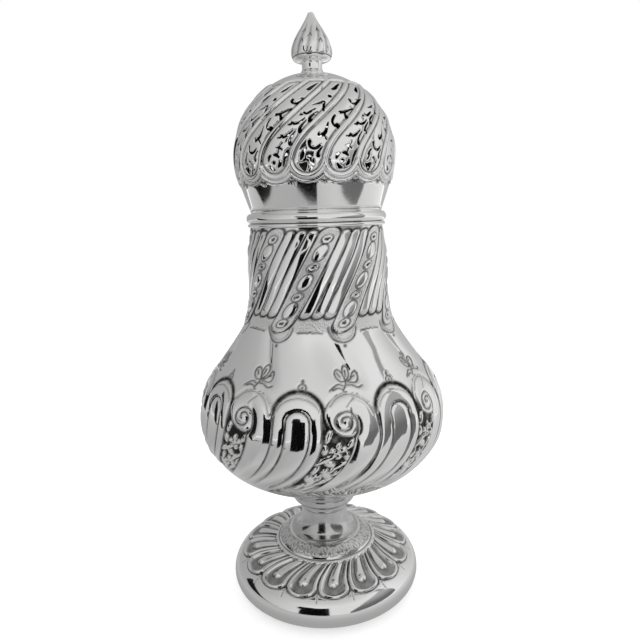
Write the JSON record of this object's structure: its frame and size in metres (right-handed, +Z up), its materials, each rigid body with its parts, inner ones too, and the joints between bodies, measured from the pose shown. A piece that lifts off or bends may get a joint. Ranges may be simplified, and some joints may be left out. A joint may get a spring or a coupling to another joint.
{
  "type": "sugar caster",
  "caption": "Baluster silver sugar caster on a domed foot, with a chased bowl, a fluted neck and a pierced pull-off cover that shakes out sugar.",
  "frame": {"origin": "middle of the face that the foot stands on", "axes": "+Z up along the axis of the caster, from the foot to the finial; -Y towards the viewer of the picture, +X to their right"},
  "size_m": [0.087, 0.087, 0.2],
  "materials": {
    "silver": "polished sterling silver with chased ornament"
  },
  "bodies": {
    "caster": {"foot_rim": "silver", "foot": "silver", "stem": "silver", "collar": "silver", "body": "silver", "mouth_wire": "silver"},
    "cover_carrier": {"cover_sleeve": "silver"},
    "cover": {"cover_bead": "silver", "pierced_dome": "silver", "finial": "silver", "finial_washer": "silver", "finial_nut": "silver"}
  },
  "joints": [
    {"name": "cover_lift", "type": "slide", "parent": "caster", "child": "cover_carrier", "axis": [0, 0, 1], "range_m": [0, 0.05]},
    {"name": "cover_turn", "type": "hinge", "parent": "cover_carrier", "child": "cover", "pos_m": [0, 0, 0.1337], "axis": [0, 0, 1], "continuous": true}
  ]
}
